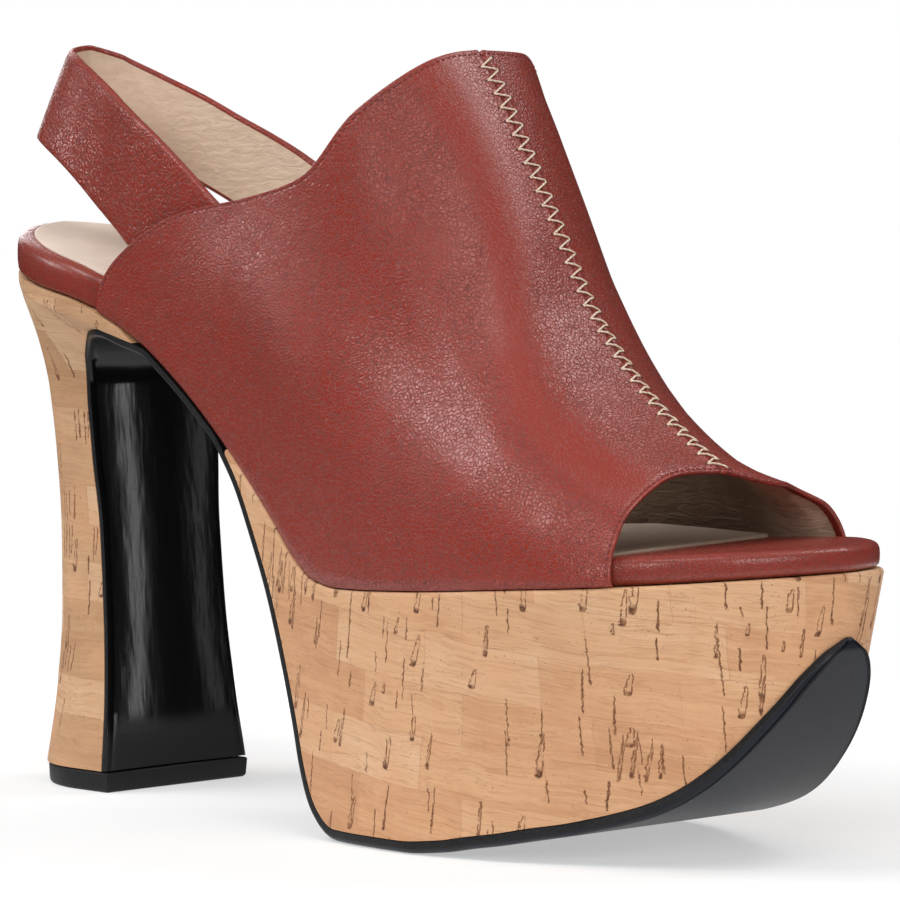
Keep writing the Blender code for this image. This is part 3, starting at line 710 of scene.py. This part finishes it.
# ---------------- vamp
# Two panels of calf leather and a cream lining, pulled over the last and cemented under
# the insole.  The collar and the toe opening are folded over the lining and top-stitched.
VAMP_WALL = 1.7
VAMP_PROUD = 0.3  # how far the vamp's foot stands outside the plan
SKIVED = 0.7  # how much thinner the wall is at the toe opening
COLLAR_SKIVED = SKIVED * 0.4  # and at the collar
SKIVED_RIM = 5.0  # how far in from the folded edges it is thinned
UNEVEN = 0.05  # how unevenly the lining lies
RIDGE_SHIFT = 4.0  # how far the middle line lies to the inner side
STITCH_INSET = 0.60  # from the folded edges to the red stitches
LASTED = 1.4  # height over which the vamp's foot turns in under the insole
FOOT_TURN = 0.8  # how far it turns in
STITCH_DENT = 0.10  # how deep the leather dips under the red stitches
SEAM_SWELL = 0.14  # how far it swells beside the seam
SWELL_AT = 1.3  # how far from the seam
SEAM_CLEFT = 0.65  # how deep it parts in the seam
# Side view of the ridge, with the squareness of the section on either side of it.
form = columns(table(
    "x z outer inner",
    (40, 216, 2.4, 2.2), (80, 200, 2.4, 2.4), (105, 182, 2.42, 3), (120, 166, 2.41, 4.1),
    (126.4, 156.8, 2.26, 3.27), (130, 151.5, 2.18, 2.93), (136, 142, 2.12, 2.45),
    (147, 123.5, 2.18, 1.82), (157.5, 106, 2.45, 1.65), (163.5, 99, 2.55, 1.54),
    (170, 92.3, 2.62, 1.5), (184.5, 81.2, 2.52, 1.5), (190, 77.8, 2.42, 1.63),
    (196, 74.2, 2.28, 2.2), (204, 71.7, 2.2, 2.74),
))
# The collar from the vamp's rear tip to the seam.
collar = columns(table(
    "share x z inner_x inner_z",
    (0.00, 46.6, 102.6, 46.6, 102.6), (0.06, 48.2, 108, 48.2, 108),
    (0.12, 51.5, 112.2, 51.5, 112.2), (0.22, 59, 117.2, 59, 117.2), (0.36, 74, 124.2, 74, 124.2),
    (0.52, 95, 127.9, 95, 129.4), (0.66, 110.4, 132.4, 110.4, 137),
    (0.80, 118.9, 142, 119.3, 148), (0.91, 124, 150.6, 124.5, 156.3),
    (1.00, 126.4, 156.8, 126.4, 156.8),
))
# The toe opening's edge, by the turn round the foot.
toe_edge = columns(table(
    "turn x",
    (0.00, 199), (0.30, 197.6), (0.50, 195.6), (0.70, 193.6), (0.86, 192.5), (1.00, 193.3),
    (1.20, 196.9), (1.40, 194.5), (1.55, 196.6), (1.70, 196.2), (1.85, 196), (2.00, 199),
))["x"]


def vamp_form(x, turn):
    """Point on the vamp's outside; turn is 0 at its outer edge, 1 on top, 2 at its inner edge."""
    low_outer, low_inner = plan_edges(x, -VAMP_PROUD, -VAMP_PROUD)
    edge = np.where(turn <= 1, low_outer, low_inner)
    power = np.where(turn <= 1, form["outer"](x), form["inner"](x))
    across = np.abs(np.cos(turn * np.pi / 2)) ** (2 / power)
    up = np.abs(np.sin(turn * np.pi / 2)) ** (2 / power)
    base = bed["z"](x) + GAP
    y = RIDGE_SHIFT + (edge - RIDGE_SHIFT) * across
    z = base + (form["z"](x) - base) * up
    return np.stack([x, y, z], -1)


def vamp_turn(x, z, side):
    """The turn at which the form reaches height z; side is -1 for outer and 1 for inner."""
    base = bed["z"](x) + GAP
    up = np.clip((z - base) / (form["z"](x) - base), 0, 1)
    power = form["outer" if side < 0 else "inner"](x)
    turn = np.arcsin(up ** (power / 2)) / (np.pi / 2)
    return turn if side < 0 else 2 - turn


COLLAR_EASE = 0.25  # spreads the collar's columns evenly beside the seam


def vamp_line(turn, steps):
    """The vamp's outside from the toe opening to the collar, along one column."""
    away = abs(1 - turn)
    share = 1 - away ** 2 * (1 + COLLAR_EASE) / (away + COLLAR_EASE)
    side = 1 if turn > 1 else -1
    collar_x = collar["inner_x" if turn > 1 else "x"](share)
    collar_z = collar["inner_z" if turn > 1 else "z"](share)
    collar_turn = 1.0 if away < 1e-9 else vamp_turn(collar_x, collar_z, side)
    x = toe_edge(turn) + (collar_x - toe_edge(turn)) * steps
    return vamp_form(x, turn + (collar_turn - turn) * steps)


near_edge = np.array([0, 0.35, 0.7, 1.05, 1.4, 1.75, 2.1, 2.6, 3.3, 4.2])
middle_steps = np.linspace(0, 1, 118)[1:-1]
fine_steps = np.linspace(0, 1, 300)


def even_line(turn):
    """One column of the vamp, with points set close together near both of its edges."""
    trial = vamp_line(turn, fine_steps)
    run = lengths(trial)
    inside = near_edge[-1] + (run[-1] - 2 * near_edge[-1]) * middle_steps
    wanted = np.concatenate([near_edge, inside, (run[-1] - near_edge)[::-1]])
    return vamp_line(turn, np.interp(wanted, run, fine_steps))


beside_seam = np.array([0.12, 0.26, 0.42, 0.6, 0.85, 1.15, 1.5, 1.9, 2.4, 3.0, 3.7, 4.5]) / 95
away = np.concatenate([beside_seam, np.linspace(beside_seam[-1], 1, 92)[1:]])
turns = np.concatenate([1 - away[::-1], [1], 1 + away])
skin = np.stack([even_line(turn) for turn in turns], 1)  # rows from toe to collar
seam_column = len(away)
INSTEP_ROW = 60  # a row on the instep, where outward is up


def normals(grid):
    """Outward normals of a grid of points whose rows run from the toe to the collar."""
    out = unit(np.cross(np.gradient(grid, axis=1), np.gradient(grid, axis=0)))
    return out if out[INSTEP_ROW, seam_column, 2] > 0 else -out


def hump(distance, width):
    return np.exp(-((distance / width) ** 2))


# Soft hollows and folds of the worn leather: place along the shoe, turn, half sizes, height.
FOLDS = table(
    "x turn long round rise",
    (58, 0.30, 18, 0.13, 1.5), (75, 0.35, 18, 0.13, -2.5), (92, 0.25, 18, 0.13, 0.6),
    (95, 0.50, 18, 0.13, -1.2), (115, 0.25, 18, 0.13, 2), (118, 0.75, 18, 0.13, 2.5),
    (135, 0.88, 18, 0.13, 1), (140, 0.50, 18, 0.13, -2.5), (140, 0.72, 18, 0.13, -1.8),
    (155, 0.88, 18, 0.13, 0.8), (160, 0.45, 18, 0.13, -0.9), (160, 0.68, 18, 0.13, -0.4),
    (172, 0.75, 18, 0.13, 0.6), (175, 0.50, 18, 0.13, 0.8), (185, 0.62, 18, 0.13, -1.1),
    (178, 1.42, 12, 0.16, -0.8),
)


def folded(x, turn):
    """How far the folds stand off the form."""
    return sum(rise * hump(x - at, long) * hump(turn - round_at, wide)
               for at, round_at, long, wide, rise in zip(*FOLDS.values()))


turn_grid = np.broadcast_to(turns, skin.shape[:2])
skin = skin + normals(skin) * folded(skin[..., 0], turn_grid)[..., None]
out = normals(skin)
from_toe = np.stack([lengths(line) for line in skin.transpose(1, 0, 2)], 1)
from_collar = from_toe[-1] - from_toe
from_seam = np.linalg.norm(skin - skin[:, seam_column:seam_column + 1], axis=2)
from_seam *= np.where(np.arange(len(turns)) < seam_column, -1, 1)
from_edge = np.minimum(from_toe, from_collar)
height = skin[..., 2] - bed["z"](skin[..., 0]) - GAP
stand = -STITCH_DENT * hump(from_edge - STITCH_INSET, 0.45) - SEAM_CLEFT * hump(from_seam, 0.35)
stand += SEAM_SWELL * hump(np.abs(from_seam) - SWELL_AT, 0.8)
foot = 1 - np.clip(height / LASTED, 0, 1)
outside = skin + out * stand[..., None]
outside[..., 1] -= np.sign(skin[..., 1]) * FOOT_TURN * (1 - np.sqrt(1 - foot ** 2))
wall = VAMP_WALL - SKIVED * hump(from_toe, SKIVED_RIM)
wall = wall - COLLAR_SKIVED * hump(from_collar, SKIVED_RIM)
inside = skin - out * (wall + UNEVEN * np.sin(skin[..., 0] * 0.9))[..., None]
rounding = np.linspace(0, np.pi, 8)[1:-1]
TURNED_OVER = 5  # rows of leather turned over the lining at either edge


def fold_over(edge, before, far):
    """Rows round the folded edge, from the outside to the lining."""
    ahead = unit(edge - before)
    half = (far - edge) / 2
    proud = np.linalg.norm(half, axis=1, keepdims=True) * 0.8
    return [edge + half * (1 - np.cos(a)) + ahead * proud * np.sin(a) for a in rounding]


ring = list(outside)
ring += fold_over(outside[-1], outside[-3], inside[-1])
ring += list(inside[::-1])
ring += fold_over(outside[0], outside[2], inside[0])[::-1]
count = len(turns)
faces = wall_faces(len(ring), count, closed=False)
last = (len(ring) - 1) * count
faces += [(last + i, last + i + 1, i + 1, i) for i in range(count - 1)]
rows = len(skin)
folds = len(rounding)
lined = range(rows + folds + TURNED_OVER, 2 * rows + folds - TURNED_OVER - 1)
slots = [int((f // (count - 1)) in lined) for f in range(len(faces))]
# The foot of the wall, between its two faces.
for column in (0, count - 1):
    for row in range(rows - 1):
        back = 2 * rows + folds - 1 - row
        quad = (row, row + 1, back - 1, back)
        faces.append(tuple(i * count + column for i in (quad if column else reversed(quad))))
        slots.append(0)


def pulled_smooth(look):
    """The ridge in front of the instep, where the last stretches the grain out."""
    turn, run, _ = look.parts(look.where(uv=True), "XYZ")
    middle = run.between(10, 80) * 0.28 + 0.64
    wide = (1 - run.between(8, 35)) * 0.07 + 0.07
    return (turn - middle).maths("ABSOLUTE").maths("DIVIDE", wide).between(1.25, 0.45)


vamp_leather = leather("tan_leather", (0.288, 0.034, 0.020), calm=pulled_smooth)
lining = Look("cream_lining")
nap = lining.noise(lining.where(), 2.6, 3, 0.6)
ripple = lining.noise(lining.where((0.25, 1.0, 1.0)), 0.55, 3, 0.6, 0.8)
soft = lining.noise(lining.where(), 0.12, 2)
run = lining.parts(lining.where(uv=True), "XYZ")[1]
# Painted shade: the lining is coloured darker in the hollows of its ripples, and much darker a
# little way in from the toe opening, inside the shoe.
inner_lining_shade = run.between(4, 24) * run.between(85, 55)
pale = lining.mix(soft.between(0.3, 0.7), (0.52, 0.38, 0.27), (0.66, 0.50, 0.365))
pale = lining.mix(ripple.between(0.50, 0.38) * 0.45, pale, (0.30, 0.20, 0.14))
cream = lining.mix(inner_lining_shade, pale, (0.20, 0.13, 0.085))
lining.surface(cream, nap * 0.15 + 0.52, ripple * 1.4 + nap * 0.12, 0.55, 0.6)
spread = np.stack([turn_grid, from_toe], -1)
maps = [*spread, *([spread[-1]] * folds), *spread[::-1], *([spread[0]] * folds)]
looks = [vamp_leather, lining.material]
vamp = piece("vamp", np.concatenate(ring), faces, looks, np.concatenate(maps), slots, 70)
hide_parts("upper")

# ---------------- stitches of the vamp
# One row of red thread runs just inside the collar and the toe opening.  The two panels
# are butted on the middle line and joined by a wide zigzag of thick cream thread.
STITCH = 1.0
STITCH_PITCH = 1.5
ZIGZAG_WIDTH = 4.7
ZIGZAG_PITCH = 3.25
ZIGZAG_LEAN = 0.85  # how far back the inner panel's holes lie from an even zigzag
THREAD, FINE_THREAD = 0.21, 0.16  # radii
HOLE, HOLE_SIDES = 0.42, 10  # radius of a needle hole, and its corners
HOLE_OUT = 1.1  # how much further from the seam than the thread's turns it lies


def tubes(name, paths, radius, look, around=7):
    """Threads: each path is a row of points with the normals they lie on."""
    points, faces = [], []
    angles = np.linspace(0, 2 * np.pi, around, endpoint=False)
    for path, facing in paths:
        ahead = unit(np.gradient(path, axis=0))
        beside = unit(np.cross(ahead, facing))
        above = np.cross(beside, ahead)
        taper = np.ones(len(path))
        taper[[0, -1]] = 0.45
        start = len(points)
        for p, s, u, size in zip(path, beside, above, taper):
            points += [p + radius * size * (np.cos(a) * s + np.sin(a) * u) for a in angles]
        tube = wall_faces(len(path), around) + ends(len(path), around)
        faces += [tuple(start + i for i in face) for face in tube]
    return piece(name, np.array(points), faces, [look])


def along(places, run, at):
    """Points of a line, whose distances along it are run, at other distances."""
    return np.stack([np.interp(at, run, places[:, k]) for k in range(3)], -1)


def stitched(line, facing):
    """Short stitches along a line, with their ends drawn down into the leather."""
    run = lengths(line)
    bow = 0.05 - 0.30 * np.abs(np.linspace(-1, 1, 7)) ** 4
    paths = []
    for start in np.arange(STITCH_PITCH / 2, run[-1] - STITCH, STITCH_PITCH):
        at = start + STITCH * np.linspace(0, 1, 7)
        up = along(facing, run, at)
        paths.append((along(line, run, at) + up * bow[:, None], up))
    return paths


red_thread = Look("red_thread", {"Roughness": 0.55})
twist = red_thread.noise(red_thread.where(), 2.6, 2)
red_thread.feed("Base Color", red_thread.mix(twist, (0.13, 0.014, 0.012), (0.25, 0.035, 0.03)))
paths = []
for away in (from_toe, from_collar):
    line, facing = [], []
    for column in range(3, count - 3):
        order = np.argsort(away[:, column])
        run = away[order, column]
        line.append(along(outside[order, column], run, STITCH_INSET))
        facing.append(along(out[order, column], run, STITCH_INSET))
    paths += stitched(np.array(line), np.array(facing))
edge_stitches = tubes("edge_stitches", paths, FINE_THREAD, red_thread.material)

cream_thread = Look("cream_thread", {"Roughness": 0.5})
twist = cream_thread.node("ShaderNodeTexWave", dict(wave_type="BANDS", bands_direction="DIAGONAL"),
                          {"Vector": cream_thread.where(), "Scale": 0.55, "Distortion": 0.6}, "Fac")
cream = cream_thread.mix(twist, (0.66, 0.50, 0.36), (0.86, 0.72, 0.57))
cream_thread.surface(cream, None, twist, 0.1, 0.6)


def beside(row_at, offset):
    """Point and normal on the vamp at a fractional row and a distance from the seam."""
    low = int(np.clip(np.floor(row_at), 0, rows - 2))
    share = row_at - low
    point, up = [
        along(grid[low], from_seam[low], offset) * (1 - share)
        + along(grid[low + 1], from_seam[low + 1], offset) * share
        for grid in (skin, out)
    ]
    return point, unit(up)


seam_run = from_toe[:, seam_column]
zigzag = []
tips = []
for i, start in enumerate(np.arange(0.5, seam_run[-1] - 1.2, ZIGZAG_PITCH / 2), 1):
    tips.append((start + ZIGZAG_LEAN * (i % 2), (1 if i % 2 else -1) * ZIGZAG_WIDTH / 2))
for (run_a, side_a), (run_b, side_b) in zip(tips[:-1], tips[1:]):
    path, facing = [], []
    for share in np.linspace(0, 1, 13):
        row_at = np.interp(run_a + (run_b - run_a) * share, seam_run, np.arange(rows))
        point, up = beside(row_at, side_a + (side_b - side_a) * share)
        bow = 0.30 - 0.55 * abs(2 * share - 1) ** 9
        path.append(point + up * bow)
        facing.append(up)
    zigzag.append((np.array(path), np.array(facing)))
seam_thread = tubes("seam_thread", zigzag, THREAD, cream_thread.material, 9)

# Small pits where the needle went through, coloured near black: painted shade in the holes.
hole_shade_look = Look("needle_hole_shade", {"Base Color": (0.03, 0.006, 0.005, 1), "Roughness": 0.8})
pits, pit_faces = [], []
for run_at, offset in tips:
    row_at = np.interp(run_at, seam_run, np.arange(rows))
    centre, up = beside(row_at, offset * HOLE_OUT)
    one = unit(np.cross(up, [0, 1, 0]))
    two = np.cross(up, one)
    start = len(pits)
    centre = centre + up * (0.16 * hump(abs(offset) * HOLE_OUT - SWELL_AT, 1) + 0.02)
    for a in np.linspace(0, 2 * np.pi, HOLE_SIDES, endpoint=False):
        pits.append(centre + HOLE * (np.cos(a) * one + np.sin(a) * two) - up * 0.06)
    pits.append(centre + up * 0.02)
    pit_faces += [(start + i, start + (i + 1) % HOLE_SIDES, start + HOLE_SIDES)
                  for i in range(HOLE_SIDES)]
needle_hole_shade = piece("needle_hole_shade", np.array(pits), pit_faces, [hole_shade_look.material])

# ---------------- sling strap
# A band of the same leather folded round a cream lining, behind the heel.  Both ends are
# sewn inside the vamp.
STRAP_WALL = 1.8
# The strap from its outer end round the heel to its inner end, leaning in at the top.
strap = table(
    "x y low high lean",
    (88, -27.2, 95, 121.5, 0), (80, -27.1, 99.5, 126.7, 0.3), (69, -27, 106, 134.6, 0.6),
    (56, -26.2, 114.5, 142.4, 1.2), (48, -24.2, 119.7, 145.7, 2), (40, -21.6, 124, 148.9, 2.8),
    (30, -18.6, 129.8, 152.6, 4), (20, -15.4, 135, 155.8, 5.6), (11.6, -10.3, 138, 157.4, 7.4),
    (7, 0, 138.4, 158, 8.2), (12, 10, 134.6, 155.8, 7.2), (20, 14.8, 131.2, 152.2, 5.6),
    (30, 17.8, 126.8, 147.8, 4), (40, 20.6, 121.7, 142.6, 2.8), (48, 22.8, 117.8, 138.6, 2),
    (56, 24.6, 113.4, 134.2, 1.2), (69, 25.6, 106, 127, 0.6), (80, 26, 99.5, 120.4, 0.3),
    (88, 26, 95, 115.4, 0),
)
at = lengths(np.stack([strap["x"], strap["y"]], -1))
run = {name: smooth(at, values) for name, values in strap.items()}
half = STRAP_WALL / 2
turned = np.linspace(0, np.pi, 7)[1:-1]
stations = finer(at, 10)
rear_tip = collar["x"](0.0)  # in front of it the strap's ends lie inside the vamp
outer_steps = np.linspace(0, 1, 15)
lining_steps = np.concatenate([[0, 0.012], np.linspace(0.1, 0.9, 13), [0.988, 1]])
points, maps = [], []
for distance in stations:
    x, y, low_at, high_at, lean = [run[name](distance) for name in strap]
    along_x = run["x"](distance + 0.5) - run["x"](distance - 0.5)
    along_y = run["y"](distance + 0.5) - run["y"](distance - 0.5)
    size = np.hypot(along_x, along_y)
    out_x, out_y = -along_y / size, along_x / size
    low_at, high_at = low_at + half, high_at - half
    tall = high_at - low_at
    corners = [(low_at + tall * s, 0.10 * np.sin(np.pi * s)) for s in outer_steps]
    corners += [(high_at + half * np.sin(a), -half * (1 - np.cos(a))) for a in turned]
    corners += [(high_at - tall * s, -STRAP_WALL) for s in lining_steps]
    corners += [(low_at - half * np.sin(a), -half * (1 + np.cos(a))) for a in turned]
    for z, depth in corners:
        shift = lean * (0.5 - (z - low_at + half) / (tall + STRAP_WALL))
        corner_x, corner_y = x + (shift + depth) * out_x, y + (shift + depth) * out_y
        if corner_x > rear_tip:
            side = np.sign(corner_y)
            turn = vamp_turn(corner_x, z, side)
            room = side * vamp_form(corner_x, turn)[1] + min(folded(corner_x, turn), 0)
            room += depth - VAMP_WALL - 2 * GAP
            corner_y = side * min(side * corner_y, room)
        points.append((corner_x, corner_y, z))
        maps.append((distance, z))
count = len(corners)
faces = wall_faces(len(stations), count)
leather_steps = len(outer_steps) + len(turned) + 1
lined = range(leather_steps, leather_steps + len(lining_steps) - 3)
slots = [int(i % count in lined) for i in range(len(faces))]
faces += ends(len(stations), count)
slots += [0, 0]
strap_leather = leather("strap_leather", (0.300, 0.037, 0.022), 1.1, 0.17, 0.20)
strap_lining = Look("strap_lining")
wrinkle = strap_lining.noise(strap_lining.where((0.35, 1.0, 1), uv=True), 0.7, 3, 0.6, 0.6)
nap = strap_lining.noise(strap_lining.where(), 2.4, 3, 0.6)
# Painted shade: the lining is coloured darker in the hollows of its wrinkles.
pale = strap_lining.mix(wrinkle.between(0.3, 0.7), (0.73, 0.56, 0.425), (0.82, 0.65, 0.505))
strap_lining.surface(pale, nap * 0.15 + 0.48, wrinkle + nap * 0.15, 0.35, 0.6)
looks = [strap_leather, strap_lining.material]
sling = piece("strap", points, faces, looks, maps, slots, 60)
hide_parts("sling_strap")

# ---------------- studio
# A pale round floor under a white room that is brighter overhead.  Broad soft lamps make the
# sheen of the leather, and two narrow ones are mirrored in the heel's polished front.
FLOOR = 0.28  # radius in metres
matt = {"Base Color": (0.5, 0.5, 0.5, 1), "Roughness": 1.0, "Specular IOR Level": 0.0}
floor_look = Look("floor", {**matt, "Emission Strength": 1.0})
away = floor_look.node("ShaderNodeVectorMath", dict(operation="LENGTH"),
                       {0: floor_look.where()}, "Value")
# Painted light: the floor glows, more towards its rim, and the glow also lights the shoe from
# below.
glow = away.between(110, 250) * 0.24 + 0.46
floor_look.feed("Emission Color", floor_look.joined(glow, glow, glow))
floor_mesh = bpy.data.meshes.new("floor")
rim = [(FLOOR * np.cos(a), FLOOR * np.sin(a), 0) for a in np.linspace(0, 2 * np.pi, 97)[:-1]]
floor_mesh.from_pydata(rim, [], [range(len(rim))])
floor_mesh.materials.append(floor_look.material)
floor = added("floor", floor_mesh)

room = Look("studio", {"Color": (1, 1, 1, 1)}, "worlds", "Background")
height = room.parts(room.node("ShaderNodeTexCoord", out="Generated"), "XYZ")[2]
room.feed("Strength", room.node("ShaderNodeMapRange", dict(interpolation_type="SMOOTHSTEP"), {
    "Value": height, "From Min": 0.35, "From Max": 0.75, "To Min": 0.03, "To Max": 0.30}))
backdrop = room.node("ShaderNodeBackground", None, {"Color": (1, 1, 1), "Strength": 1.0})
both = room.node("ShaderNodeMixShader", None, {
    0: room.node("ShaderNodeLightPath", out="Is Camera Ray"),
    1: Wire(room, room.shader.outputs[0]), 2: backdrop})
room.links.new(both.socket, room.nodes["World Output"].inputs["Surface"])
bpy.context.scene.world = room.material

LAMPS_AWAY = 1.4  # metres from a point a little above the floor
LAMPS_AIM = Vector((0, 0, 0.08))
# Each lamp: degrees round the shoe and above the floor, size in metres, brightness.
for name, turn, rise, size, bright in (
    ("left", -130, 51, (0.7, 0.7), 7.0),
    ("low_left", -156, 18, (0.22, 0.22), 17.0),
    ("right", 68, 48, (0.55, 0.55), 5.8),
    ("top_front", -40, 58, (0.6, 0.6), 3.8),
    ("front", -60, 18, (0.5, 0.4), 7.5),
    ("front_right", -8, 18, (0.5, 0.4), 8.5),
    ("low_behind", 150, 14, (0.42, 0.42), 4.0),
    ("strip", 49.5, 2.3, (0.04, 0.30), 5.5),
    ("faint_strip", 37, 2.3, (0.03, 0.3), 2.0),
):
    light = bpy.data.lights.new(name, "AREA")
    light.shape = "RECTANGLE"
    light.size, light.size_y = size
    light.energy = bright * np.pi * size[0] * size[1]
    lamp = added(name, light)
    turn, rise = np.radians(turn), np.radians(rise)
    out = Vector((np.cos(turn) * np.cos(rise), np.sin(turn) * np.cos(rise), np.sin(rise)))
    lamp.location = LAMPS_AIM + out * LAMPS_AWAY
    lamp.rotation_euler = (-out).to_track_quat("-Z", "Y").to_euler()
